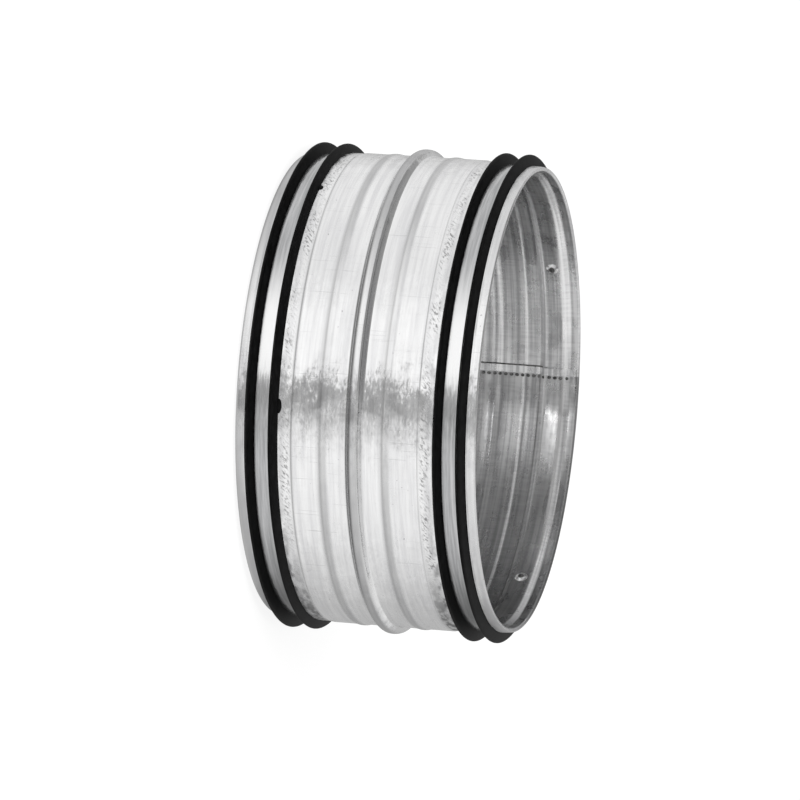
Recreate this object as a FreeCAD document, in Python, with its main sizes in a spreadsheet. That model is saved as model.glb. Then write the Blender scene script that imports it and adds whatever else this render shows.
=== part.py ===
import FreeCAD, Part
import os

import Sketcher
from FreeCAD import Placement, Rotation, Vector

# Round duct coupler: one rolled sheet-steel sleeve with a stop bead at its
# middle, and at each end a rubber double-lip gasket held in its seat by a
# steel clamp band. The sleeve stands on one end, with +Z along its axis and
# the origin at the centre of the lower rim. The lap seam is at +Y.

doc = FreeCAD.newDocument("duct_coupler")

# Driving dimensions, in millimetres and degrees
DIMENSIONS = {
    "coupler_length": 81,
    "body_diameter": 159.2,
    "sheet_thickness": 0.6,
    "bead_height": 2.5,
    "bead_inside_radius": 1.6,
    "bead_flank_angle": 50,
    "rib_height": 0.35,
    "rib_width": 3.2,
    "crease_step": 0.25,
    "crease_run": 0.5,
    "strip_width": 4.85,
    "seat_depth": 2.8,
    "seat_floor_width": 5.7,
    "shoulder_angle": 45,
    "hem_slope_length": 2.6,
    "hem_length": 3.3,
    "hem_drop": 1,
    "hem_gap": 0.3,
    "hem_bevel": 0.45,
    "lap_width": 5,
    "dimple_count": 4,
    "dimple_first_angle": 30,
    "dimple_diameter": 4.6,
    "dimple_height": 0.7,
    "dimple_rim_width": 0.5,
    "dimple_pit_diameter": 2,
    "seal_clearance": 0.05,
    "lip_height": 2.9,
    "lip_width": 1,
    "lip_crest_width": 0.4,
    "lip_bevel": 0.5,
    "lip_setback": 1.63,
    "toe_share": 0.15,
    "bridge_thickness": 1.3,
    "channel_inset": 0.18,
    "band_width": 4.65,
    "band_thickness": 0.5,
}

# Radii and heights that several sketches share, worked out from the driving
# dimensions. Heights are counted from the sleeve's middle towards one end.
SECTION = {
    "half_length": "Dimensions.coupler_length / 2",
    "body_radius": "Dimensions.body_diameter / 2",
    "bead_radius": "Dimensions.bead_inside_radius + Dimensions.sheet_thickness",
    "bead_centre": "body_radius + Dimensions.bead_height - bead_radius",
    "bead_turn": "Dimensions.bead_flank_angle * 1 deg",
    "flank_top": "bead_centre + bead_radius * cos(bead_turn)",
    "flank_start": "bead_radius * sin(bead_turn)",
    "bead_foot": "flank_start + (flank_top - body_radius) / tan(bead_turn)",
    "rib_half": "Dimensions.rib_width / 2",
    "rib_radius": "(rib_half * rib_half / Dimensions.rib_height + Dimensions.rib_height) / 2",
    "rib_centre": "body_radius + Dimensions.rib_height - rib_radius",
    "strip_radius": "body_radius - Dimensions.crease_step",
    "floor_radius": "body_radius - Dimensions.seat_depth",
    "floor_inside": "floor_radius - Dimensions.sheet_thickness",
    "rim_radius": "body_radius - Dimensions.hem_drop",
    "return_inside": "rim_radius - Dimensions.sheet_thickness",
    "collar_radius": "return_inside - Dimensions.hem_gap",
    "collar_inside": "collar_radius - Dimensions.sheet_thickness",
    "hem_start": "half_length - Dimensions.hem_length",
    "collar_middle": "half_length - Dimensions.hem_length / 2",
    "fold_height": "half_length - Dimensions.sheet_thickness",
    "floor_end": "hem_start - Dimensions.hem_slope_length",
    "floor_start": "floor_end - Dimensions.seat_floor_width",
    "floor_middle": "(floor_start + floor_end) / 2",
    "shoulder_drop": "strip_radius - floor_radius",
    "shoulder_start": "floor_start - shoulder_drop / tan(Dimensions.shoulder_angle * 1 deg)",
    "corner_share": "tan(Dimensions.shoulder_angle / 2 * 1 deg)",
    "crease_end": "shoulder_start - Dimensions.strip_width",
    "crease_start": "crease_end - Dimensions.crease_run",
    "rib_middle": "crease_start / 2",
    "rib_start": "rib_middle - rib_half",
    "rib_end": "rib_middle + rib_half",
    "bridge_inside": "floor_radius + Dimensions.seal_clearance",
    "bridge_outside": "bridge_inside + Dimensions.bridge_thickness",
    "toe_radius": "strip_radius - shoulder_drop * Dimensions.toe_share",
    "toe_height": "shoulder_start + (floor_start - shoulder_start) * Dimensions.toe_share",
    "channel_middle": "floor_middle - Dimensions.channel_inset",
    "channel_half": "Dimensions.band_width / 2 + Dimensions.seal_clearance",
    "lip_top": "body_radius + Dimensions.lip_height",
    "lip_shoulder": "lip_top - Dimensions.lip_bevel",
}


def fill_sheet(name, cells):
    """Make a spreadsheet with one aliased cell for each entry."""
    sheet = doc.addObject("Spreadsheet::Sheet", name)
    for row, (alias, content) in enumerate(cells.items(), start=1):
        text = f"={content}" if isinstance(content, str) else str(content)
        sheet.set(f"A{row}", alias)
        sheet.set(f"B{row}", text)
        sheet.setAlias(f"B{row}", alias)
    doc.recompute()
    return sheet


fill_sheet("Dimensions", DIMENSIONS)
section = fill_sheet("Section", SECTION)


def value(formula):
    """The number that a formula over the two sheets gives."""
    return float(section.evalExpression(formula))


def new_body(label):
    """An empty body whose label names its file."""
    body = doc.addObject("PartDesign::Body", label)
    body.Label = label
    return body


def origin_feature(body, role):
    """One of the body's own origin planes or axes."""
    return next(item for item in body.Origin.OriginFeatures if item.Role == role)


def section_sketch(body, name):
    """A sketch on the body's YZ plane: across is radius, up is height."""
    sketch = body.newObject("Sketcher::SketchObject", name)
    sketch.AttachmentSupport = [(origin_feature(body, "YZ_Plane"), "")]
    sketch.MapMode = "FlatFace"
    return sketch


class Outline:
    """A running outline in a sketch, each stretch joined to the one before.

    A point is a pair of formulas, radius and height, or a place that the
    sketch settles by itself. The first and last ends are kept as pairs of a
    stretch's number and the number of its end.
    """

    def __init__(self, sketch, start):
        self.sketch = sketch
        self.place = self.point(start)
        self.first = None
        self.last = None

    def point(self, place):
        if isinstance(place, Vector):
            return place
        radius, height = place
        return Vector(value(radius), value(height), 0)

    def add(self, curve, start_end, finish_end, smooth):
        number = self.sketch.addGeometry(curve)
        if self.last is None:
            self.first = (number, start_end)
        else:
            self.join(self.last, (number, start_end), smooth)
        self.last = (number, finish_end)
        return number

    def join(self, one, other, smooth):
        kind = "Tangent" if smooth else "Coincident"
        self.sketch.addConstraint(Sketcher.Constraint(kind, *one, *other))

    def line_to(self, end, smooth=False):
        """A straight stretch, smooth where it carries on from an arc."""
        end = self.point(end)
        number = self.add(Part.LineSegment(self.place, end), 1, 2, smooth)
        self.place = end
        return number

    def corner_to(self, corner):
        """A straight stretch up to a corner that is given."""
        number = self.line_to(corner)
        self.at_radius(number, 2, corner[0])
        self.at_height(number, 2, corner[1])

    def arc_to(self, centre, end, radius, smooth=True):
        """An arc of less than half a turn, smooth where it carries on from another."""
        centre = self.point(centre)
        end = self.point(end)
        circle = Part.Circle(centre, Vector(0, 0, 1), value(radius))
        first = circle.parameter(self.place)
        last = circle.parameter(end)
        turn = (self.place - centre).cross(end - centre).z
        if turn > 0:
            number = self.add(Part.ArcOfCircle(circle, first, last), 1, 2, smooth)
        else:
            number = self.add(Part.ArcOfCircle(circle, last, first), 2, 1, smooth)
        self.place = end
        self.bind("Radius", (number,), radius)
        return number

    def close(self):
        self.join(self.last, self.first, False)

    def bind(self, kind, where, formula):
        """A size of the sketch that follows a formula over the sheets."""
        number = self.sketch.addConstraint(Sketcher.Constraint(kind, *where, value(formula)))
        self.sketch.setExpression(f"Constraints[{number}]", formula)

    def at_radius(self, number, end, formula):
        self.bind("DistanceX", (-1, 1, number, end), formula)

    def at_height(self, number, end, formula):
        self.bind("DistanceY", (-1, 1, number, end), formula)

    def upright(self, number):
        self.sketch.addConstraint(Sketcher.Constraint("Vertical", number))

    def on_middle(self, number, end):
        self.sketch.addConstraint(Sketcher.Constraint("PointOnObject", number, end, -1))


CENTRE = 3


def draw_corners(sketch, corners):
    """A closed outline of straight sides between corners that are all given."""
    line = Outline(sketch, corners[0])
    for corner in corners[1:] + corners[:1]:
        line.corner_to(corner)
    line.close()
    return line


def draw_wall_line(sketch):
    """Outer face of the sheet, from the stop bead's crest into the hem's collar."""
    body = "Section.body_radius"
    line = Outline(sketch, ("Section.bead_centre + Section.bead_radius", "0"))
    bead = line.arc_to(
        ("Section.bead_centre", "0"), ("Section.flank_top", "Section.flank_start"),
        "Section.bead_radius")
    line.on_middle(bead, 1)
    line.on_middle(bead, CENTRE)
    line.at_radius(bead, CENTRE, "Section.bead_centre")
    flank = line.line_to((body, "Section.bead_foot"), smooth=True)
    line.at_height(flank, 2, "Section.bead_foot")

    plain = line.line_to((body, "Section.rib_start"))
    line.upright(plain)
    line.at_radius(plain, 2, body)
    line.at_height(plain, 2, "Section.rib_start")
    line.arc_to(
        ("Section.rib_centre", "Section.rib_middle"), (body, "Section.rib_end"),
        "Section.rib_radius", smooth=False)
    plain = line.line_to((body, "Section.crease_start"))
    line.upright(plain)
    line.at_radius(plain, 1, body)
    line.at_height(plain, 1, "Section.rib_end")
    line.at_height(plain, 2, "Section.crease_start")

    corners = [
        ("Section.strip_radius", "Section.crease_end"),
        ("Section.strip_radius", "Section.shoulder_start"),
        ("Section.floor_radius", "Section.floor_start"),
        ("Section.floor_radius", "Section.floor_end"),
        ("Section.collar_radius", "Section.hem_start"),
        ("Section.collar_radius", "Section.collar_middle"),
    ]
    for corner in corners:
        line.corner_to(corner)


def draw_hem(sketch):
    """Section of the hem: the collar's end folded outwards and back to its cut edge."""
    bevel = "Dimensions.hem_bevel"
    end = "Section.half_length"
    corners = [
        ("Section.collar_radius", "Section.collar_middle"),
        ("Section.collar_radius", "Section.fold_height"),
        ("Section.return_inside", "Section.fold_height"),
        ("Section.return_inside", "Section.hem_start"),
        ("Section.rim_radius", "Section.hem_start"),
        ("Section.rim_radius", f"{end} - {bevel}"),
        (f"Section.rim_radius - {bevel}", end),
        (f"Section.collar_inside + {bevel}", end),
        ("Section.collar_inside", f"{end} - {bevel}"),
        ("Section.collar_inside", "Section.collar_middle"),
    ]
    draw_corners(sketch, corners)


def thicken(body, name, line, thickness):
    """A face of even thickness on the inner side of an open sheet line."""
    face = body.newObject("PartDesign::SubShapeBinder", name)
    face.Support = [(line, ("",))]
    face.setExpression("Offset", f"-({thickness})")
    face.OffsetFill = True
    face.OffsetOpenResult = True
    face.OffsetJoinType = "Intersection"
    doc.recompute()
    return face


def revolve(body, name, profile):
    """A full turn of a section about the coupler's axis."""
    solid = body.newObject("PartDesign::Revolution", name)
    solid.Profile = profile
    solid.ReferenceAxis = (origin_feature(body, "Z_Axis"), [""])
    solid.Angle = 360
    return solid


def draw_dimple(sketch):
    """Half section of a punched dimple: a raised rim round a small pit."""
    middle = "Section.floor_middle"
    base = "Section.floor_inside + Dimensions.sheet_thickness / 2"
    top = "Section.floor_inside - Dimensions.dimple_height"
    pit_edge = f"{middle} + Dimensions.dimple_pit_diameter / 2"
    corners = [
        (base, middle),
        (base, f"{middle} + Dimensions.dimple_diameter / 2"),
        (top, f"{pit_edge} + Dimensions.dimple_rim_width"),
        (top, pit_edge),
        ("Section.floor_inside", middle),
    ]
    line = draw_corners(sketch, corners)
    axis_ends = [line.point((base, middle)), line.point((top, middle))]
    axis = sketch.addGeometry(Part.LineSegment(*axis_ends), True)
    for end, radius in ((1, base), (2, top)):
        line.at_radius(axis, end, radius)
        line.at_height(axis, end, middle)


def add_dimples(body):
    """A ring of dimples pressed into the seat's floor from outside."""
    sketch = section_sketch(body, "dimple_section")
    sketch.AttachmentOffset = Placement(
        Vector(), Rotation(Vector(0, 1, 0), value("Dimensions.dimple_first_angle")))
    sketch.setExpression("AttachmentOffset.Rotation.Angle", "Dimensions.dimple_first_angle")
    draw_dimple(sketch)
    doc.recompute()
    dimple = body.newObject("PartDesign::Revolution", "dimple")
    dimple.Profile = sketch
    dimple.ReferenceAxis = (sketch, ["Axis0"])
    dimple.Angle = 360
    ring = body.newObject("PartDesign::PolarPattern", "dimple_ring")
    ring.Originals = [dimple]
    ring.Axis = (origin_feature(body, "Z_Axis"), [""])
    ring.Angle = 360
    ring.setExpression("Occurrences", "Dimensions.dimple_count")
    body.Tip = ring
    doc.recompute()


def make_sleeve():
    """The rolled sheet: one half turned about the axis, then mirrored."""
    body = new_body("duct_sleeve")
    wall_line = section_sketch(body, "wall_line")
    draw_wall_line(wall_line)
    hem_section = section_sketch(body, "hem_section")
    draw_hem(hem_section)
    doc.recompute()

    sheet = "Dimensions.sheet_thickness"
    revolve(body, "wall", thicken(body, "wall_section", wall_line, sheet))
    revolve(body, "hem", hem_section)
    doc.recompute()
    lap = revolve(body, "lap", thicken(body, "lap_section", wall_line, f"2 * {sheet}"))
    lap.setExpression("Angle", "Dimensions.lap_width / Section.body_radius * 180 / pi")
    lap.Midplane = True
    doc.recompute()
    add_dimples(body)

    mirror = body.newObject("PartDesign::Mirrored", "other_half")
    mirror.TransformMode = "Whole shape"
    mirror.MirrorPlane = (origin_feature(body, "XY_Plane"), [""])
    body.Tip = mirror
    body.setExpression("Placement.Base.z", "Section.half_length")
    return body


def lip_corners(crest):
    """Corners of one lip, from its inboard side over its bevelled crest."""
    side = "Dimensions.lip_width / 2"
    flat = "Dimensions.lip_crest_width / 2"
    return [
        ("Section.lip_shoulder", f"{crest} - {side}"),
        ("Section.lip_top", f"{crest} - {flat}"),
        ("Section.lip_top", f"{crest} + {flat}"),
        ("Section.lip_shoulder", f"{crest} + {side}"),
    ]


def draw_gasket(sketch):
    """Gasket section: two lips and the bridge between them, on the sheet's seat."""
    clearance = "Dimensions.seal_clearance"
    setback = "Dimensions.lip_setback"
    slope = "Dimensions.shoulder_angle * 1 deg"
    mitre = f"{clearance} * Section.corner_share"
    near = "Section.channel_middle - Section.channel_half"
    far = "Section.channel_middle + Section.channel_half"
    end = f"Section.hem_start - {clearance}"
    corners = [
        (f"Section.toe_radius + {clearance} * cos({slope})",
         f"Section.toe_height + {clearance} * sin({slope})"),
        *lip_corners(f"{near} - {setback}"),
        ("Section.bridge_outside", near),
        ("Section.bridge_outside", far),
        *lip_corners(f"{far} + {setback}"),
        ("Section.rim_radius", end),
        (f"Section.collar_radius + {clearance}", end),
        ("Section.bridge_inside", "Section.floor_end"),
        ("Section.bridge_inside", f"Section.floor_start + {mitre}"),
    ]
    draw_corners(sketch, corners)


def draw_band(sketch):
    """Clamp band section: a flat strip on the gasket's bridge."""
    inside = "Section.bridge_outside + Dimensions.seal_clearance"
    outside = f"{inside} + Dimensions.band_thickness"
    low = "Section.channel_middle - Dimensions.band_width / 2"
    high = "Section.channel_middle + Dimensions.band_width / 2"
    corners = [(inside, low), (outside, low), (outside, high), (inside, high)]
    draw_corners(sketch, corners)


def make_ring(label, draw, turn):
    """A ring of one section, upright or turned over to the lower end."""
    body = new_body(label)
    sketch = section_sketch(body, f"{label}_section")
    draw(sketch)
    doc.recompute()
    revolve(body, f"{label}_turn", sketch)
    body.Placement = Placement(Vector(), Rotation(Vector(1, 0, 0), turn))
    body.setExpression("Placement.Base.z", "Section.half_length")
    return body


pieces = [make_sleeve()]
for end, turn in (("lower", 180), ("upper", 0)):
    pieces.append(make_ring(f"{end}_gasket", draw_gasket, turn))
    pieces.append(make_ring(f"{end}_clamp_band", draw_band, turn))
doc.recompute()

for item in doc.Objects:
    if {"Invalid", "Error"} & set(item.State):
        raise RuntimeError(f"{item.Label} failed: {item.getStatusString()}")
for piece in pieces:
    if piece.Shape.isNull() or not piece.Shape.isValid() or len(piece.Shape.Solids) != 1:
        raise RuntimeError(f"{piece.Label} is not one valid solid")

os.makedirs("parts", exist_ok=True)
for piece in pieces:
    piece.Shape.exportStep(f"parts/{piece.Label}.step")
    print(piece.Label, round(piece.Shape.Volume), "mm3")
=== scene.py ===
# %% [markdown]
# # A round duct coupler
# The real coupler joins two lengths of round air duct. One galvanised sheet is
# rolled into a sleeve, a rubber gasket with two lips sits in a seat at each end,
# and a thin steel band clamps each gasket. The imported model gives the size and
# place of every piece. This lesson dresses those pieces with rounded shapes and
# real finishes, in the same frame: metres, +Z along the duct, lap seam at +Y.

import math

import bmesh
import bpy
from mathutils import Matrix, Vector


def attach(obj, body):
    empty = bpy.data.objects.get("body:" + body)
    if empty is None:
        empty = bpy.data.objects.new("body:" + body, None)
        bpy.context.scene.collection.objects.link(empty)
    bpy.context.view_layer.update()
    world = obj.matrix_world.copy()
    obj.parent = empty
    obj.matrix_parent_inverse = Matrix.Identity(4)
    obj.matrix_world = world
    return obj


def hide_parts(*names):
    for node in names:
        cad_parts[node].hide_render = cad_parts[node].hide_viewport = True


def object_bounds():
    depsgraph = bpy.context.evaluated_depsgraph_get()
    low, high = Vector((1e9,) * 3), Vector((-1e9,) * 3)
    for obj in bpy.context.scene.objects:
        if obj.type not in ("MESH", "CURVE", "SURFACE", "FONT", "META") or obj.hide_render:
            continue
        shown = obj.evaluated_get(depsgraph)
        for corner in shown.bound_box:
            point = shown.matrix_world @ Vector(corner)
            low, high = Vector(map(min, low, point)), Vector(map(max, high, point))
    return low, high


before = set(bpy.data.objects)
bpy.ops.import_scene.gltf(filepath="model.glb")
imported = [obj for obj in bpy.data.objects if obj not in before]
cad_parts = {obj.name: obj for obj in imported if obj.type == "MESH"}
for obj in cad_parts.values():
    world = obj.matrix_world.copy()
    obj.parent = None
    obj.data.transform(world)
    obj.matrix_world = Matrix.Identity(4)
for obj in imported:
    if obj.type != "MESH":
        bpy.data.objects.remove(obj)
cad_low, cad_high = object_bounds()
MM = 0.001
MID_HEIGHT = (cad_low.z + cad_high.z) / 2
HALF_LENGTH = (cad_high.z - cad_low.z) / 2 / MM
print("nodes", sorted(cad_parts), "half length", round(HALF_LENGTH, 2), "mm")

# %% [markdown]
# ## The rolled section
# A roll former gives the sheet its section all round at once: a stop bead at the
# middle, a soft rib, a crease, the seat of the gasket, and a hem folded outwards.
# A spin about the axis makes the same shape. The section is a wire of a few
# corners, each rounded by a vertex bevel. A corner is listed as its radius, its
# distance from the sleeve's middle and how far its rounding is cut back, all in
# millimetres.

# %% Radii of the section
SHEET = 0.6
CROWN_EDGE = 81.8
BODY = 79.6
RIB_TOP = BODY + 0.48
STRIP = 79.35
SEAT_FLOOR = 76.8
COLLAR = 77.7
RETURN = 78.0
print("body", 2 * BODY, "mm across, sheet", SHEET, "mm")

# %% Sheet line from the bead to the hem
BEAD_FOOT = 2.6
RIB_MIDDLE = 10.5
RIB_HALF = 1.9
CREASE_START = 20.8
CREASE_END = 21.6
SHOULDER = 26.35
SEAT_START = 28.9
SEAT_END = 34.6
HEM_START = 37.2
HEM_LEAN = 0.09
EDGE_ROUND = 0.15
FOLD = HALF_LENGTH - SHEET

BEAD_CROWN = (82.2, 0, 1)
half_line = [
    (CROWN_EDGE, 1.5, 0.7),
    (BODY, BEAD_FOOT, 0.5),
    (BODY, RIB_MIDDLE - RIB_HALF, 0.9),
    (RIB_TOP, RIB_MIDDLE, 0.9),
    (BODY, RIB_MIDDLE + RIB_HALF, 0.9),
    (BODY, CREASE_START, 0.4),
    (STRIP, CREASE_END, 0.4),
    (STRIP, SHOULDER, 0.35),
    (SEAT_FLOOR, SEAT_START, 0.5),
    (SEAT_FLOOR, SEAT_END, 0.6),
    (COLLAR, HEM_START, 0.5),
    (COLLAR, FOLD, 0.14),
    (RETURN - HEM_LEAN, FOLD, 0.14),
    (RETURN + 0.9 * HEM_LEAN, HEM_START + EDGE_ROUND, 0),
    (RETURN + HEM_LEAN, HEM_START, 0),
]


def other_end(corners):
    """The same corners mirrored in the middle of the sleeve, in running order."""
    return [(radius, -along, cut) for radius, along, cut in reversed(corners)]


sheet_line = other_end(half_line) + [BEAD_CROWN] + half_line
print("sheet line of", len(sheet_line), "corners")

# %% [markdown]
# ## Wire to surface
# A few small helpers serve every ring of this object. The first two draw a wire
# and round its corners. The next spins the wire about the duct's axis. A full spin
# merges its last step with its first, and the normals are worked out again after
# it, because a spin can turn a surface inside out.

# %% Wires with rounded bends
def round_segments(cut):
    """Steps of a rounded bend, more for a wide one."""
    return 4 + round(4 * cut)


def bend_wire(places, cuts, closed=False, segments=None):
    """A wire through the places, each corner rounded by its cut in millimetres."""
    wire = bmesh.new()
    points = [wire.verts.new(place) for place in places]
    for one, other in zip(points, points[1:]):
        wire.edges.new((one, other))
    if closed:
        wire.edges.new((points[-1], points[0]))
    for point, cut in zip(points, cuts):
        if cut:
            bmesh.ops.bevel(
                wire, geom=[point], offset=cut * MM, offset_type="OFFSET",
                segments=segments or round_segments(cut), profile=0.5,
                affect="VERTICES", material=-1)
    return wire


def draw_section(corners, closed=False):
    """A section's wire in the plane x = 0."""
    places = [(0, radius * MM, MID_HEIGHT + along * MM) for radius, along, cut in corners]
    return bend_wire(places, [cut for radius, along, cut in corners], closed)


print("a bend cut back by 1 mm has", round_segments(1), "steps")

# %% Spinning a wire about the duct's axis
TURN_STEPS = 240


def turn(wire, angle=math.tau, steps=TURN_STEPS):
    """Spin a wire about the duct's axis, starting where it is drawn."""
    bmesh.ops.spin(
        wire, geom=wire.verts[:] + wire.edges[:], cent=(0, 0, 0), axis=(0, 0, 1),
        angle=angle, steps=steps, use_merge=abs(angle) == math.tau)
    bmesh.ops.remove_doubles(wire, verts=wire.verts, dist=1e-7)
    bmesh.ops.recalc_face_normals(wire, faces=wire.faces)


def face_outwards(sheet):
    """Turn an open sheet round if its faces look at the duct's axis."""
    outward = sum(
        face.normal.dot(face.calc_center_median() * Vector((1, 1, 0))) * face.calc_area()
        for face in sheet.faces)
    if outward < 0:
        bmesh.ops.reverse_faces(sheet, faces=sheet.faces)


print("a full turn has", TURN_STEPS, "steps")

# %% Finished pieces
SHARP_ANGLE = math.radians(40)


def make_piece(name, shape):
    """A finished piece at the origin that rides with the part."""
    mesh = bpy.data.meshes.new(name)
    for face in shape.faces:
        face.smooth = True
    shape.to_mesh(mesh)
    shape.free()
    mesh.set_sharp_from_angle(angle=SHARP_ANGLE)
    piece = bpy.data.objects.new(name, mesh)
    bpy.context.scene.collection.objects.link(piece)
    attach(piece, "root")
    print(name, len(mesh.polygons), "faces")
    return piece


# %% [markdown]
# ## The sleeve
# The wire follows the outer face of the sheet and, in the hem, the face inside the
# fold. Spinning it gives a surface without thickness, and a Solidify modifier adds
# the sheet behind it. That is how the real sheet behaves: the inside shows every
# bead and step of the outside, and the fold ends in a round rim.

# %% Spin the sleeve and give it its thickness
sleeve_sheet = draw_section(sheet_line)
turn(sleeve_sheet)
face_outwards(sleeve_sheet)
sleeve = make_piece("sleeve", sleeve_sheet)
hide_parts("duct_sleeve")
thickness = sleeve.modifiers.new("sheet thickness", "SOLIDIFY")
thickness.thickness = SHEET * MM
thickness.offset = -1
thickness.use_even_offset = True
thickness.use_quality_normals = True

# %% [markdown]
# ## The lap seam
# The sheet's two edges overlap by a few millimetres and are joined by a row of
# small welds. Inside the sleeve this shows as a step along the duct and a dotted
# line beside it. Past the welds the inner layer runs on into the round of the
# sleeve. The layer is a skin on the sleeve's inner face, which rays from the axis
# find, so it follows every bead and step. Its line is spun a short way, then each
# column moves inwards: one sheet's thickness along the edge, and less and less
# beyond the lap. The edge itself is dark as far as the seats, so its faces get a
# second, darker material there.

# %% Line of the lap's edge
LAP_WIDTH = 5.0
LAP_REACH = 39.6
LAP_ROWS = 264
LAP_STEP = 0.5


def surface_point(piece, azimuth, along):
    """The place on a piece's inner face that a ray from the axis meets."""
    ready = piece.evaluated_get(bpy.context.evaluated_depsgraph_get())
    start = Vector((0, 0, MID_HEIGHT + along * MM))
    heading = Vector((math.sin(azimuth), math.cos(azimuth), 0))
    _, place, _, _ = ready.ray_cast(start, heading)
    return place


lap_edge = -(LAP_STEP + LAP_WIDTH / 2) / BODY
lap_heights = [LAP_REACH * (2 * row / LAP_ROWS - 1) for row in range(LAP_ROWS + 1)]
lap_places = [surface_point(sleeve, lap_edge, along) for along in lap_heights]
lap_shape = bend_wire(lap_places, [0] * len(lap_places))
print("lap line of", len(lap_places), "points")

# %% Skin of the inner layer
LAP_TAPER = 14.0
LAP_DARK_EDGE = 27.5
SUNK = 0.05


def lap_depth(reach):
    """How far the layer stands off the sleeve's inner face past its edge, in mm."""
    share = min(max((LAP_WIDTH + LAP_TAPER - reach) / LAP_TAPER, 0), 1)
    if reach < -LAP_STEP / 2:
        share = 0
    return (SHEET + SUNK) * share * share * (3 - 2 * share) - SUNK


lap_steps = round((LAP_STEP + LAP_WIDTH + LAP_TAPER) / LAP_STEP)
turn(lap_shape, -lap_steps * LAP_STEP / BODY, lap_steps)
for point in lap_shape.verts:
    reach = math.atan2(point.co.x, point.co.y) * BODY + LAP_WIDTH / 2
    arm = point.co * Vector((1, 1, 0))
    point.co -= arm.normalized() * lap_depth(reach) * MM
# Faces on the lap's edge, as far as the seats, get the dark second material.
for face in lap_shape.faces:
    middle = face.calc_center_median()
    on_edge = math.atan2(middle.x, middle.y) * BODY < -LAP_WIDTH / 2
    if on_edge and abs(middle.z - MID_HEIGHT) < LAP_DARK_EDGE * MM:
        face.material_index = 1
lap = make_piece("lap_seam", lap_shape)

# %% [markdown]
# ## Weld dots
# Each weld is a small round mark, burnt darker than the zinc. A flattened sphere
# is enough for one, and a ray from the axis sets it on the lap's surface, in the
# seats and over the bead too.

# %% Row of welds beside the lap's edge
WELD_PITCH = 2.02
WELD_REACH = 36.4
WELD_SIZE = (0.58, 0.15, 0.74)
WELD_INSET = 3.3


def facing_axis(place):
    """Matrix that sets a shape on a place, its -Y side towards the duct's axis."""
    azimuth = math.atan2(place.x, place.y)
    return Matrix.Translation(place) @ Matrix.Rotation(-azimuth, 4, "Z")


def squashed(place, size):
    """Matrix that sets a unit sphere on a place, its girth, depth and length in mm."""
    return facing_axis(place) @ Matrix.Diagonal((*(half * MM for half in size), 1))


weld_azimuth = (WELD_INSET - LAP_WIDTH / 2) / BODY
weld_count = round(2 * WELD_REACH / WELD_PITCH) + 1
weld_shape = bmesh.new()
for number in range(weld_count):
    place = surface_point(lap, weld_azimuth, number * WELD_PITCH - WELD_REACH)
    bmesh.ops.create_icosphere(
        weld_shape, subdivisions=2, radius=1, matrix=squashed(place, WELD_SIZE))
welds = make_piece("weld_dots", weld_shape)

# %% [markdown]
# ## Punched dimples
# A punch from outside holds the gasket's seat at four places round each end. It
# leaves a small raised ring inside with a pit, whose faces get the weld oxide
# material as painted shade. Its section is spun about its own axis, then turned
# and moved to the seat's floor. A corner of the section is listed as its radius,
# its height and its cut.

# %% One dimple
DIMPLE_SECTION = [
    (2.3, -0.1, 0),
    (2.15, 0.12, 0.1),
    (1.55, 0.66, 0.2),
    (1.05, 0.66, 0.15),
    (0.85, 0.05, 0.15),
    (0, 0, 0),
]
DIMPLE_PIT = 1.02
DIMPLE_STEPS = 28


def draw_dimple(place):
    """A dimple at a place on the sleeve's inner face, its axis towards the duct's."""
    corners = [(radius * MM, -height * MM, 0) for radius, height, cut in DIMPLE_SECTION]
    shape = bend_wire(corners, [cut for radius, height, cut in DIMPLE_SECTION], segments=3)
    bmesh.ops.spin(
        shape, geom=shape.verts[:] + shape.edges[:], cent=(0, 0, 0), axis=(0, 1, 0),
        angle=math.tau, steps=DIMPLE_STEPS, use_merge=True)
    bmesh.ops.remove_doubles(shape, verts=shape.verts, dist=1e-6)
    bmesh.ops.recalc_face_normals(shape, faces=shape.faces)
    for face in shape.faces:
        across = face.calc_center_median() * Vector((1, 0, 1))
        # Faces in the pit get the dark second material: painted shade in the hollow.
        if across.length < DIMPLE_PIT * MM:
            face.material_index = 1
    shape.transform(facing_axis(place))
    return shape


print("dimple", 2 * DIMPLE_SECTION[0][0], "mm across")

# %% Eight dimples on the seats' floors
DIMPLE_FIRST = 30
DIMPLE_COUNT = 4

seat_middle = (SEAT_START + SEAT_END) / 2
dimple_shape = bmesh.new()
for end in (-1, 1):
    for number in range(DIMPLE_COUNT):
        azimuth = -math.radians(DIMPLE_FIRST + number * 360 / DIMPLE_COUNT)
        added = draw_dimple(surface_point(sleeve, azimuth, end * seat_middle))
        copy = bpy.data.meshes.new("dimple")
        added.to_mesh(copy)
        added.free()
        dimple_shape.from_mesh(copy)
        bpy.data.meshes.remove(copy)
dimples = make_piece("dimples", dimple_shape)

# %% [markdown]
# ## The gaskets
# Each gasket is one rubber profile with two round lips, bent into a ring. Its wire
# is closed, so the spin makes a solid ring at once. The lips lean on the sheet's
# shoulder and on the hem's cut edge, and the clamp band lies between them. The
# lower gasket is pressed a little further home, so its foot laps onto the sheet.

# %% Gasket section and rings
GASKET = [
    (79.0, 26.78, 0.05),
    (81.95, 27.05, 0.3),
    (82.62, 27.57, 0.4),
    (81.95, 28.1, 0.3),
    (78.15, 29.2, 0.15),
    (78.15, 33.95, 0.15),
    (81.95, 35.05, 0.3),
    (82.62, 35.58, 0.4),
    (81.95, 36.1, 0.3),
    (78.6, 37.15, 0.2),
    (77.75, 37.15, 0),
    (76.85, 34.6, 0),
    (76.85, 28.93, 0),
]
LOWER_FOOT = (STRIP + 0.07, 25.75, 0.1)


def make_ring(name, corners, node):
    """A closed section spun into a ring that stands for a node of the model."""
    shape = draw_section(corners, closed=True)
    turn(shape)
    ring = make_piece(name, shape)
    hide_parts(node)
    return ring


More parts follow.
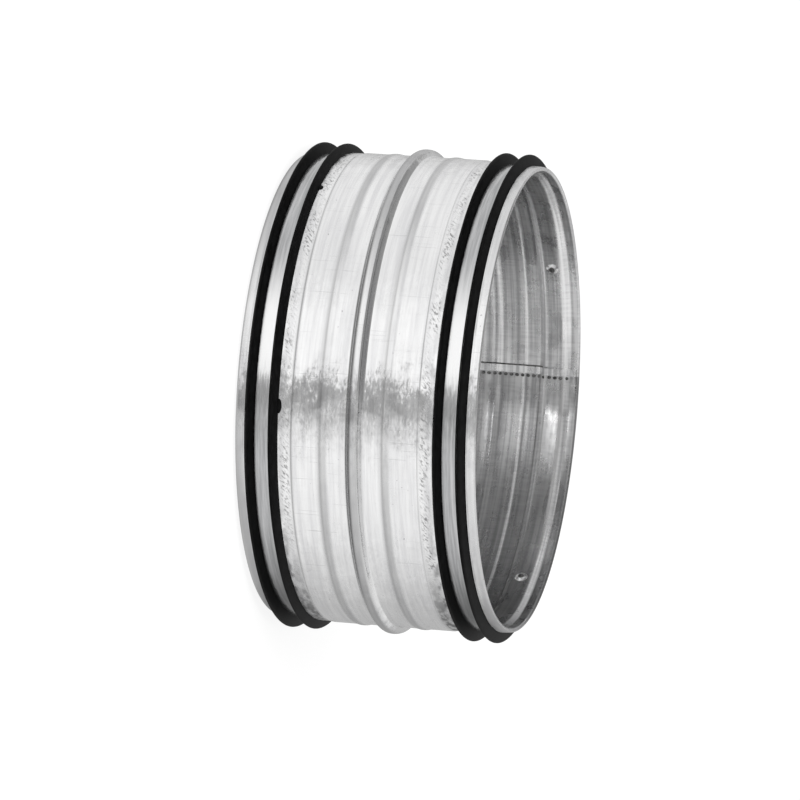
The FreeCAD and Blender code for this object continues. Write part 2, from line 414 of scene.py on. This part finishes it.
lower_section = other_end(GASKET[:1] + [LOWER_FOOT] + GASKET[1:])
lower_gasket = make_ring("gasket_lower", lower_section, "lower_gasket")
upper_gasket = make_ring("gasket_upper", GASKET, "upper_gasket")

# %% [markdown]
# ## Moulding flash
# Where a mould's halves meet, a little rubber squeezes out and stays as a nub at
# the foot of a lip. The lower gasket has two beside its inner lip. A squashed
# sphere, half sunk in the lip and lying on the sheet, is enough for each. Its
# place is in degrees from the side across from the seam towards -X, and its half
# length round the girth is in millimetres.

# %% Two nubs on the lower gasket
NUB_PLACES = [(62.5, 1.3), (1.3, 2.4)]
NUB_ALONG = -25.6
NUB_DEPTH = 0.4
NUB_LENGTH = 0.95

nub_shape = bmesh.new()
for degrees, half_girth in NUB_PLACES:
    place = Matrix.Rotation(-math.radians(degrees), 3, "Z") @ Vector((0, -STRIP, 0)) * MM
    place.z = MID_HEIGHT + NUB_ALONG * MM
    bmesh.ops.create_icosphere(
        nub_shape, subdivisions=3, radius=1,
        matrix=squashed(place, (half_girth, NUB_DEPTH, NUB_LENGTH)))
nubs = make_piece("gasket_nubs", nub_shape)

# %% [markdown]
# ## The clamp bands
# A band is a thin strip with slightly broken edges, drawn tight over the rubber
# between the lips.

# %% Band section and rings
BAND = [
    (78.2, 29.25, 0.05),
    (78.7, 29.25, 0.12),
    (78.7, 33.9, 0.12),
    (78.2, 33.9, 0.05),
]
lower_band = make_ring("clamp_band_lower", other_end(BAND), "lower_clamp_band")
upper_band = make_ring("clamp_band_upper", BAND, "upper_clamp_band")

# %% [markdown]
# ## Materials
# Colours are written as sRGB hex values and turned to linear by one function. One
# function adds a node with its settings and links. An input is a plain value, a
# socket, or a node, which stands for its first output.

# %% Helpers for materials
SOFT = {"interpolation_type": "SMOOTHSTEP"}
COLOUR = {"data_type": "RGBA"}


def linear(hex_colour):
    """An sRGB hex colour as linear red, green, blue and alpha."""
    channels = [int(hex_colour[start:start + 2], 16) / 255 for start in (1, 3, 5)]
    lit = [c / 12.92 if c <= 0.04045 else ((c + 0.055) / 1.055) ** 2.4 for c in channels]
    return (*lit, 1)


def fill_inputs(tree, node, inputs):
    """Set a node's inputs, listed in order or by name, or link them."""
    pairs = inputs.items() if isinstance(inputs, dict) else enumerate(inputs)
    for key, content in pairs:
        if isinstance(content, bpy.types.Node):
            content = content.outputs[0]
        if isinstance(content, bpy.types.NodeSocket):
            tree.links.new(content, node.inputs[key])
        else:
            node.inputs[key].default_value = content


def add_node(tree, kind, inputs=(), **settings):
    """Add a shader node, set its fields and fill its inputs."""
    node = tree.nodes.new("ShaderNode" + kind)
    for field, content in settings.items():
        setattr(node, field, content)
    fill_inputs(tree, node, inputs)
    return node


def new_material(name):
    """A node material, its tree and its shader."""
    material = bpy.data.materials.new(name)
    material.use_nodes = True
    tree = material.node_tree
    return material, tree, tree.nodes["Principled BSDF"]


print("mid grey", [round(channel, 3) for channel in linear("#808080")])

# %% [markdown]
# ## Patterns that follow the sheet
# The marks of rolling run round the girth, so patterns need the sheet's own
# directions: how far round, how deep, how far along. They are worked out from the
# Object coordinates, counted from the side across from the seam, and every
# pattern's scale comes from its size in millimetres.

# %% Directions of the sheet
def sheet_coords(tree):
    """Normal, arm from the axis, place on the sheet and distance from the middle."""
    normal = add_node(tree, "NewGeometry").outputs["Normal"]
    place = add_node(tree, "TexCoord").outputs["Object"]
    split = add_node(tree, "SeparateXYZ", [place])
    across = add_node(tree, "Math", [split.outputs["Y"], -1], operation="MULTIPLY")
    azimuth = add_node(tree, "Math", [split.outputs["X"], across], operation="ARCTAN2")
    girth = add_node(tree, "Math", [azimuth, BODY * MM], operation="MULTIPLY")
    arm = add_node(tree, "VectorMath", [place, (1, 1, 0)], operation="MULTIPLY")
    depth = add_node(tree, "VectorMath", [arm], operation="LENGTH").outputs["Value"]
    along = add_node(tree, "Math", [split.outputs["Z"], MID_HEIGHT], operation="SUBTRACT")
    sheet = add_node(tree, "CombineXYZ", [girth, depth, along])
    return normal, arm, sheet, along


# HIGHLIGHT_SIDE is where the studio's highlight falls, in mm round the girth towards -X. Painted
# shade on the ridges and the band keeps off it, and the band gets a painted highlight there.
HIGHLIGHT_SIDE = -25


def girth_shading(tree, sheet):
    """Place round the girth, distance from the highlight side, and painted shade towards +X."""
    girth = add_node(tree, "SeparateXYZ", [sheet]).outputs["X"]
    shift = add_node(tree, "Math", [girth, HIGHLIGHT_SIDE * MM], operation="SUBTRACT")
    off_highlight = add_node(tree, "Math", [shift], operation="ABSOLUTE")
    # Painted shade towards +X, full from about 95 to 120 mm round the girth.
    low_shade_start = add_node(tree, "MapRange", [girth, 40 * MM, 95 * MM, 0, 1], **SOFT)
    low_shade_end = add_node(tree, "MapRange", [girth, 120 * MM, 200 * MM, 0, 1], **SOFT)
    low_side_shade = add_node(tree, "Math", [low_shade_start, low_shade_end], operation="SUBTRACT")
    return girth, off_highlight, low_side_shade


print("clean side", -HIGHLIGHT_SIDE, "mm round from the front towards -X")

# %% Marks of a size, bands of the sheet
NOISE_DEPTH = 5


def sheet_noise(tree, sheet, size, slant=0.0, detail=3.0):
    """Noise whose features are so many millimetres round the girth and along the duct."""
    girth, length = size
    turned = add_node(
        tree, "Mapping", {"Vector": sheet, "Rotation": (0, math.radians(slant), 0)})
    scale = (1 / (girth * MM), 1 / (NOISE_DEPTH * MM), 1 / (length * MM))
    place = add_node(tree, "VectorMath", [turned, scale], operation="MULTIPLY")
    return add_node(
        tree, "TexNoise", {"Vector": place, "Scale": 1.0, "Detail": detail, "Roughness": 0.6})


def marks(tree, sheet, size, edges, levels=(0, 1), slant=0.0, detail=3.0):
    """Marks of a size, from one level to the other where noise passes between the edges."""
    pattern = sheet_noise(tree, sheet, size, slant, detail)
    return add_node(tree, "MapRange", [pattern, *edges, *levels], **SOFT)


def zone(tree, along, band, strength=1.0):
    """Strength in a band of the sheet at both ends, and 0 beside it."""
    middle, half, soft = band
    distance = add_node(tree, "Math", [along], operation="ABSOLUTE")
    shift = add_node(tree, "Math", [distance, middle * MM], operation="SUBTRACT")
    off = add_node(tree, "Math", [shift], operation="ABSOLUTE")
    limits = ((half - soft) * MM, (half + soft) * MM)
    return add_node(tree, "MapRange", [off, *limits, strength, 0], **SOFT)


print("noise is", NOISE_DEPTH, "mm deep across the sheet")

# %% Ripples of the sheet
def ripple(tree, arm, sheet, size, amount, plain):
    """Shading normal that leans a little round the girth, as rolled sheet does."""
    swing = add_node(tree, "Math", [sheet_noise(tree, sheet, size), 0.5], operation="SUBTRACT")
    per_arm = add_node(tree, "Math", [amount, BODY * MM], operation="DIVIDE")
    lean = add_node(tree, "Math", [swing, per_arm], operation="MULTIPLY")
    round_girth = add_node(tree, "VectorMath", [(0, 0, 1), arm], operation="CROSS_PRODUCT")
    sideways = add_node(tree, "VectorMath", {0: round_girth, "Scale": lean}, operation="SCALE")
    leaning = add_node(tree, "VectorMath", [plain, sideways], operation="ADD")
    return add_node(tree, "VectorMath", [leaning], operation="NORMALIZE")


print("ripples lean round the girth only")

# %% [markdown]
# ## Galvanised steel
# Zinc on rolled sheet is bright grey. Rollers leave fine streaks round the girth
# and dull the ribs and the bead. That dulling is partly painted shade, as it
# fades out on the side where the studio's highlight falls. The strip between
# crease and gasket is scratched by the tool that set the gasket. Painted shade
# darkens the crease, the hem's cut edge, and the strip and hem towards +X.
# Inside, the zinc is duller and streaked round the girth, and painted shade
# darkens the wall on the +X side of the lap. One material serves both faces of
# the sheet, because the normal says which one is seen.

# %% Faces of the sheet
FACE_EDGE = 2 * MM

steel, tree, shader = new_material("galvanised steel")
normal, arm, sheet, along = sheet_coords(tree)
girth, off_highlight, low_side_shade = girth_shading(tree, sheet)
facing = add_node(tree, "VectorMath", [normal, arm], operation="DOT_PRODUCT").outputs["Value"]
outside = add_node(tree, "MapRange", [facing, -FACE_EDGE, FACE_EDGE, 0, 1], **SOFT)
print(steel.name, "starts with", len(tree.nodes), "nodes")

# %% Tone of the zinc, outside and inside
streaks = marks(tree, sheet, (45, 1.8), (0.3, 0.7))
outer_tone = add_node(
    tree, "Mix", {0: streaks, 6: linear("#e2e2e3"), 7: linear("#f4f4f4")}, **COLOUR).outputs[2]
grain = sheet_noise(tree, sheet, (0.8, 7))
long_streaks = sheet_noise(tree, sheet, (90, 1.5))
mottle = add_node(tree, "Math", [grain, 0.25, long_streaks], operation="MULTIPLY_ADD")
dullness = add_node(tree, "MapRange", [mottle, 0.45, 0.8, 0, 1], **SOFT)
bare_inside = add_node(
    tree, "Mix", {0: dullness, 6: linear("#bdbdbe"), 7: linear("#f6f6f6")}, **COLOUR).outputs[2]
print("zinc tones use", len(tree.nodes), "nodes so far")

# %% Painted shade inside on the +X side of the lap, left off along the rolled lines
ROLLED_LINES = [(20.6, 0.5, 0.3), (27.6, 0.8, 0.5), (36.3, 0.9, 0.5)]

# Painted shade: the inside wall darkens round the girth towards the lap on the +X side, and is
# left off along three rolled lines.
half_turn = math.pi * BODY * MM
shade_start = add_node(
    tree, "MapRange", [girth, 0.42 * half_turn, 0.62 * half_turn, 0, 0.8], **SOFT)
shade_end = add_node(tree, "MapRange", [girth, 0.62 * half_turn, half_turn, 0, 0.3], **SOFT)
painted_shade = add_node(tree, "Math", [shade_start, shade_end], operation="SUBTRACT")
shade_inside = painted_shade
for line in ROLLED_LINES:
    unrolled = add_node(tree, "Math", [1.0, zone(tree, along, line)], operation="SUBTRACT")
    shade_inside = add_node(tree, "Math", [shade_inside, unrolled], operation="MULTIPLY")
inner_tone = add_node(
    tree, "Mix", {0: shade_inside, 6: bare_inside, 7: linear("#4a4a4b")}, **COLOUR).outputs[2]
zinc = add_node(
    tree, "Mix", {0: outside, 6: inner_tone, 7: outer_tone}, **COLOUR).outputs[2]
print("oil reaches", round(0.58 * half_turn / MM), "mm round from the lap")

# %% Ridges and hem dulled, with painted shade away from the highlight side
RIB_BAND = (RIB_MIDDLE, 1.3, 0.7)
BEAD_BAND = (0, 1.5, 0.7)
HEM_BAND = (39, 1.7, 0.4)

# Painted shade: the dulling of ridges and hem fades near the side where the studio's highlight
# falls and is full away from it.
shade_off_highlight = add_node(tree, "MapRange", [off_highlight, 8 * MM, 60 * MM, 0.12, 1], **SOFT)
# The hem band is darker at the lower end than at the upper.
hem_darkness = add_node(tree, "MapRange", [along, -5 * MM, 5 * MM, 0.42, 0.2], **SOFT)
ridges = zone(tree, along, RIB_BAND, 0.34)
for band, strength in ((BEAD_BAND, 0.42), (HEM_BAND, hem_darkness)):
    ridge = zone(tree, along, band, strength)
    ridges = add_node(tree, "Math", [ridges, ridge], operation="MAXIMUM")
rubbed_and_shaded = add_node(tree, "Math", [ridges, shade_off_highlight], operation="MULTIPLY")
print("rib rubbed over", 2 * RIB_BAND[1], "mm, hem over", 2 * HEM_BAND[1], "mm")

# %% Scratched and smudged strip
STRIP_BAND = (23.7, 1.6, 0.8)
STRIP_EDGE = (25.4, 1.2, 1.1)

scratches = marks(tree, sheet, (1.7, 0.6), (0.47, 0.63), slant=40)
bare = marks(tree, sheet, (14, 6), (0.4, 0.62), (0.12, 0.65))
scuffed = add_node(tree, "Math", [scratches, bare], operation="MULTIPLY")
scuffs = zone(tree, along, STRIP_BAND, scuffed)
# The smudges beside the lips are partly real smudges and partly painted shade that grows towards
# +X.
smudge_and_shade_side = add_node(tree, "MapRange", [girth, 20 * MM, 85 * MM, 0.15, 0.8], **SOFT)
smears = marks(tree, sheet, (6, 2.5), (0.36, 0.6), (0, smudge_and_shade_side))
smudges = zone(tree, along, STRIP_EDGE, smears)
print("scratches on a strip of", 2 * STRIP_BAND[1], "mm")

# %% Painted shade in patches on the strip and hem towards +X
STRIP_WHOLE = (23.9, 2.4, 0.6)

# Painted shade in patches on the strip and hem, towards +X only; the lower hem is darker.
patchy = marks(tree, sheet, (6, 2.5), (0.35, 0.6), (0.3, 0.85))
strip_shade = zone(tree, along, STRIP_WHOLE, patchy)
hem_level = add_node(tree, "Math", [hem_darkness, 0.25], operation="ADD")
hem_shade = zone(tree, along, HEM_BAND, hem_level)
patchy_shade = add_node(tree, "Math", [strip_shade, hem_shade], operation="MAXIMUM")
painted_low_shade = add_node(tree, "Math", [patchy_shade, low_side_shade], operation="MULTIPLY")
print("grime on a strip of", 2 * STRIP_WHOLE[1], "mm and on the hem")

# %% Painted shade along the crease and the hem's cut edge, specks, and the finished colour
CREASE_LINE = (21.3, 0.22, 0.2)
HEM_LINE = (37.7, 0.25, 0.2)

# Painted shade: a dark line along the crease, and a broken one along the hem's cut edge.
crease_shade = zone(tree, along, CREASE_LINE, 0.22)
hem_shade_gaps = marks(tree, sheet, (25, 3), (0.35, 0.65), (0.05, 0.4))
hem_edge_shade = zone(tree, along, HEM_LINE, hem_shade_gaps)
specks = marks(tree, sheet, (1.1, 1.1), (0.74, 0.8), (0, 0.5), detail=1.0)
scores = marks(tree, sheet, (0.5, 26), (0.66, 0.74), (0, 0.14), detail=1.0)
strongest = rubbed_and_shaded
for mark in (crease_shade, scuffs, smudges, specks, scores, painted_low_shade, hem_edge_shade):
    strongest = add_node(tree, "Math", [strongest, mark], operation="MAXIMUM")
wear_and_shade = add_node(tree, "Math", [strongest, outside], operation="MULTIPLY")
colour = add_node(tree, "Mix", {0: wear_and_shade, 6: zinc, 7: linear("#4c4c4d")}, **COLOUR).outputs[2]
fill_inputs(tree, shader, {"Base Color": colour, "Metallic": 1.0})
print(steel.name, "colour from", len(tree.nodes), "nodes")

# %% Sheen of the zinc, and its ripples, calmer inside
PATCH = (9, 5)

shine = marks(tree, sheet, PATCH, (0.3, 0.7), (0.14, 0.28))
inner_dull = add_node(tree, "MapRange", [facing, -FACE_EDGE, FACE_EDGE, 0.08, 0], **SOFT)
face_dull = add_node(tree, "Math", [shine, inner_dull], operation="ADD")
rough = add_node(tree, "Math", [wear_and_shade, 0.35, face_dull], operation="MULTIPLY_ADD")
broad_wave = add_node(tree, "MapRange", [facing, -FACE_EDGE, FACE_EDGE, 0.075, 0.3], **SOFT)
broad = ripple(tree, arm, sheet, (7, 6), broad_wave, normal)
calm = add_node(tree, "MapRange", [facing, -FACE_EDGE, FACE_EDGE, 0.25, 1], **SOFT)
patches = marks(tree, sheet, PATCH, (0.38, 0.62), (0.1, 0.45))
fine_wave = add_node(tree, "Math", [patches, calm], operation="MULTIPLY")
rippled = ripple(tree, arm, sheet, (1.8, 0.7), fine_wave, broad)
fill_inputs(tree, shader, {"Roughness": rough, "Normal": rippled})
print(steel.name, "has", len(tree.nodes), "nodes")

# %% [markdown]
# ## Moulded rubber
# EPDM rubber is nearly black and matt, with a soft sheen where light grazes it.

# %% Rubber
rubber, tree, shader = new_material("EPDM rubber")
_, _, sheet, _ = sheet_coords(tree)
bloom = marks(tree, sheet, (3, 0.8), (0.35, 0.7))
colour = add_node(
    tree, "Mix", {0: bloom, 6: linear("#050505"), 7: linear("#0e0e0f")}, **COLOUR).outputs[2]
fill_inputs(tree, shader, {"Base Color": colour, "Roughness": 0.55, "Specular IOR Level": 0.1})
print(rubber.name, "has", len(tree.nodes), "nodes")

# %% [markdown]
# ## Band steel
# The band is cold-rolled strip, streaked along its length and a shade darker than
# the zinc. A painted highlight makes it lighter on the side where the studio's
# highlight falls, and painted shade darkens it towards +X.

# %% Band
band_steel, tree, shader = new_material("cold-rolled band steel")
normal, arm, sheet, _ = sheet_coords(tree)
_, off_highlight, low_side_shade = girth_shading(tree, sheet)
streaks = marks(tree, sheet, (22, 0.9), (0.25, 0.75))
worn = add_node(
    tree, "Mix", {0: streaks, 6: linear("#9fa0a1"), 7: linear("#c8c8c9")}, **COLOUR).outputs[2]
# Painted highlight: the band is painted lighter where the studio's highlight falls.
bright = add_node(tree, "MapRange", [off_highlight, 6 * MM, 36 * MM, 1, 0], **SOFT)
highlighted = add_node(tree, "Mix", {0: bright, 6: worn, 7: linear("#efefef")}, **COLOUR).outputs[2]
# Painted shade darkens the band towards +X.
dark = add_node(tree, "Math", [low_side_shade, 0.8], operation="MULTIPLY")
colour = add_node(tree, "Mix", {0: dark, 6: highlighted, 7: linear("#2c2c2c")}, **COLOUR).outputs[2]
rippled = ripple(tree, arm, sheet, (4, 0.5), 0.2, normal)
fill_inputs(
    tree, shader, {"Base Color": colour, "Metallic": 1.0, "Roughness": 0.2, "Normal": rippled})
print(band_steel.name, "has", len(tree.nodes), "nodes")

# %% [markdown]
# ## Weld marks and punch marks
# The heat of welding leaves grey oxide on the zinc, uneven from weld to weld. A
# punch does the opposite: it presses the zinc bright, in patches. The oxide also
# serves as painted shade in the dimples' pits and darkens the lap's edge.

# %% Weld oxide
oxide, tree, shader = new_material("weld oxide")
_, _, sheet, _ = sheet_coords(tree)
burn = marks(tree, sheet, (1.5, 1.2), (0.35, 0.65))
colour = add_node(
    tree, "Mix", {0: burn, 6: linear("#3e3e3e"), 7: linear("#747473")}, **COLOUR).outputs[2]
fill_inputs(tree, shader, {"Base Color": colour, "Metallic": 0.6, "Roughness": 0.55})
print(oxide.name, "has", len(tree.nodes), "nodes")

# %% Burnished zinc
burnished, tree, shader = new_material("burnished zinc")
_, _, sheet, _ = sheet_coords(tree)
pressed = marks(tree, sheet, (1.6, 1.6), (0.4, 0.6))
colour = add_node(
    tree, "Mix", {0: pressed, 6: linear("#8f8f90"), 7: linear("#f4f4f4")}, **COLOUR).outputs[2]
fill_inputs(tree, shader, {"Base Color": colour, "Metallic": 1.0, "Roughness": 0.42})
print(burnished.name, "has", len(tree.nodes), "nodes")

# %% Finishes of the pieces
FINISHES = [
    (sleeve, steel), (lap, steel), (lap, oxide), (dimples, burnished), (dimples, oxide),
    (welds, oxide), (lower_gasket, rubber), (upper_gasket, rubber), (nubs, rubber),
    (lower_band, band_steel), (upper_band, band_steel),
]
for piece, finish in FINISHES:
    piece.data.materials.append(finish)
    print(piece.name, "wears", finish.name)

# %% [markdown]
# ## Floor, light and camera
# The floor is plain and pale. For the camera it is white apart from the shadow.
# Bright metal shows mostly what it mirrors, so mirrors get a studio of their own.
# Outside the sleeve the floor lets their rays through to the studio. Within the
# sleeve they meet a pale card, a little lighter towards +X.

# %% Floor
FLOOR_HALF = 6

floor_shape = bmesh.new()
bmesh.ops.create_grid(floor_shape, x_segments=1, y_segments=1, size=FLOOR_HALF)
floor_mesh = bpy.data.meshes.new("floor")
floor_shape.to_mesh(floor_mesh)
floor_shape.free()
floor = bpy.data.objects.new("floor", floor_mesh)
bpy.context.scene.collection.objects.link(floor)
print("floor", 2 * FLOOR_HALF, "m wide")

# %% Floor paint
floor_paint, tree, shader = new_material("white floor")
fill_inputs(tree, shader, {"Base Color": linear("#f4f4f4"), "Roughness": 0.9})
path = add_node(tree, "LightPath")
glow = add_node(tree, "Emission", {"Color": (1, 1, 1, 1), "Strength": 0.86})
grey = add_node(tree, "BsdfDiffuse", {"Color": (0.2, 0.2, 0.2, 1)})
shown = add_node(tree, "AddShader", [glow, grey])
plain = add_node(tree, "MixShader", [path.outputs["Is Camera Ray"], shader, shown])
print("camera sees", glow.inputs["Strength"].default_value, "and the light on a grey")

# %% What mirrors see of the floor
CARD_EDGE = 20 * MM

place = add_node(tree, "TexCoord").outputs["Object"]
side = add_node(tree, "SeparateXYZ", [place]).outputs["X"]
card_level = add_node(tree, "MapRange", [side, -CARD_EDGE, CARD_EDGE, 0.6, 0.75], **SOFT)
card = add_node(tree, "Emission", {"Color": (1, 1, 1, 1), "Strength": card_level})
reach = add_node(tree, "VectorMath", [place], operation="LENGTH").outputs["Value"]
beyond = add_node(tree, "Math", [reach, BODY * MM], operation="GREATER_THAN")
see_through = add_node(tree, "BsdfTransparent")
mirrored = add_node(tree, "MixShader", [beyond, card, see_through])
surface = add_node(tree, "MixShader", [path.outputs["Is Glossy Ray"], plain, mirrored])
fill_inputs(tree, tree.nodes["Material Output"], {"Surface": surface})
floor_mesh.materials.append(floor_paint)
print(floor_paint.name, "has", len(tree.nodes), "nodes")

# %% [markdown]
# ## The studio in the metal
# The level of the studio is set by direction. Round the part, in degrees from the
# front towards -X, it is bright with one dark gap, where the camera would stand,
# and dim behind. It falls off towards the ground. Overhead, a bright ceiling on the
# +X side ends in a dark one on the -X side.

# %% Levels by direction
STUDIO_ROUND = [
    (-180, 0.5), (-150, 0.5), (-125, 0.55), (-98, 0.72), (-66, 0.95), (-26, 1.05), (-19, 0.95),
    (-12, 0.78), (-7, 0.62), (-2, 0.4), (5, 0.28), (7.5, 0.42), (10.5, 1.14), (45, 1.08),
    (65, 0.93), (110, 0.95), (140, 0.9), (180, 0.5),
]
STUDIO_FALL = [(-1, 0.27), (-0.8, 0.36), (-0.55, 0.8), (-0.35, 1), (1, 1)]
CEILING = (0.82, 0.32)


def studio_level(tree, source, stops):
    """Grey level of a direction, read from a list of places and levels."""
    low, high = stops[0][0], stops[-1][0]
    from_low = add_node(tree, "Math", [source, low], operation="SUBTRACT")
    share = add_node(tree, "Math", [from_low, high - low], operation="DIVIDE")
    ramp = add_node(tree, "ValToRGB", [share])
    elements = ramp.color_ramp.elements
    elements.remove(elements[1])
    for number, (place, level) in enumerate(stops):
        position = (place - low) / (high - low)
        stop = elements.new(position) if number else elements[0]
        stop.position = position
        stop.color = (level, level, level, 1)
    return ramp


print("studio of", len(STUDIO_ROUND), "levels round and", len(STUDIO_FALL), "up")

# %% World
world = bpy.data.worlds.new("studio")
bpy.context.scene.world = world
world.use_nodes = True
tree = world.node_tree
path = add_node(tree, "LightPath")
heading = add_node(tree, "TexCoord").outputs["Generated"]
turned = add_node(tree, "VectorMath", [heading, (-1, -1, 1)], operation="MULTIPLY")
split = add_node(tree, "SeparateXYZ", [turned])
angle = add_node(tree, "Math", [split.outputs["X"], split.outputs["Y"]], operation="ARCTAN2")
azimuth = add_node(tree, "Math", [angle], operation="DEGREES")
rise = split.outputs["Z"]
level_round = studio_level(tree, azimuth, STUDIO_ROUND)
level_up = studio_level(tree, rise, STUDIO_FALL)
walls = add_node(tree, "Math", [level_round, level_up], operation="MULTIPLY")
ceiling = add_node(tree, "MapRange", [split.outputs["X"], -0.4, 0.1, *CEILING], **SOFT)
overhead = add_node(tree, "MapRange", [rise, 0.2, 0.42, 0, 1], **SOFT)
studio = add_node(tree, "Mix", {0: overhead, 6: walls, 7: ceiling}, **COLOUR).outputs[2]
print("studio of", len(tree.nodes), "nodes")

# %% Who sees the studio
FILL_GREY = (0.75, 0.75, 0.75, 1)

soft = add_node(
    tree, "Mix", {0: path.outputs["Is Glossy Ray"], 6: FILL_GREY, 7: studio}, **COLOUR).outputs[2]
through = (path.outputs["Is Camera Ray"], path.outputs["Is Transmission Ray"])
clear = add_node(tree, "Math", through, operation="MAXIMUM")
backdrop = add_node(tree, "Mix", {0: clear, 6: soft, 7: (1, 1, 1, 1)}, **COLOUR).outputs[2]
fill_inputs(tree, tree.nodes["Background"], {"Color": backdrop})
print("the camera sees white, metal sees the studio")

# %% [markdown]
# ## Lamps
# A soft box overhead gives the shadow and lights the rubber. Metal doesn't mirror
# it. A small strip light stands inside the sleeve, before the wall nearest the
# camera. Only the far wall of the open end mirrors it, as a bright patch on the
# seat's floor and on the collar.

# %% Soft box overhead
lamp_data = bpy.data.lights.new("soft box", "AREA")
lamp_data.shape = "DISK"
lamp_data.size = 0.9
lamp_data.energy = 9
lamp = bpy.data.objects.new("soft box", lamp_data)
bpy.context.scene.collection.objects.link(lamp)
lamp.visible_glossy = False
lamp.location = (-0.5, -0.6, 1.1)
lamp_aim = Vector((0, 0, MID_HEIGHT)) - lamp.location
lamp.rotation_euler = lamp_aim.to_track_quat("-Z", "Y").to_euler()
print(lamp.name, lamp_data.energy, "W")

# %% Strip light inside
TUBE_AZIMUTH = math.radians(25)
TUBE_ARM = 69.8
TUBE_ALONG = 2.5

tube_data = bpy.data.lights.new("strip light", "AREA")
tube_data.shape = "RECTANGLE"
tube_data.size = 65 * MM
tube_data.size_y = 15 * MM
tube_data.energy = 0.018
tube = bpy.data.objects.new("strip light", tube_data)
bpy.context.scene.collection.objects.link(tube)
tube_facing = Vector((math.sin(TUBE_AZIMUTH), math.cos(TUBE_AZIMUTH), 0))
tube.location = -TUBE_ARM * MM * tube_facing + Vector((0, 0, MID_HEIGHT + TUBE_ALONG * MM))
tube.rotation_euler = tube_facing.to_track_quat("-Z", "Y").to_euler()
tube.visible_camera = False
print(tube.name, round(tube_data.energy, 3), "W")

# %% [markdown]
# ## Camera
# The camera looks at the open upper end from the side across from the seam, and is
# rolled so that the duct lies across the picture. Its place and directions were
# fitted to the outlines of the rims, the lips and the bead.

# %% Camera at the photograph's viewing angle
CAMERA_PLACE = (-0.24328, -2.01894, 0.53069)
CAMERA_RIGHT = Vector((-0.041467, 0.242501, 0.969265))
CAMERA_UP = Vector((-0.992183, 0.104283, -0.068538))
CAMERA_BACK = Vector((-0.117698, -0.964530, 0.236281))

camera_data = bpy.data.cameras.new("camera")
camera_data.sensor_width = 36
camera_data.lens = 278.4
camera = bpy.data.objects.new("camera", camera_data)
bpy.context.scene.collection.objects.link(camera)
directions = Matrix((CAMERA_RIGHT, CAMERA_UP, CAMERA_BACK)).transposed().to_4x4()
camera.matrix_world = Matrix.Translation(CAMERA_PLACE) @ directions
bpy.context.scene.camera = camera
bpy.context.scene.view_settings.view_transform = "Standard"
print("camera looks down at", round(math.degrees(math.asin(CAMERA_BACK.z)), 1), "degrees")
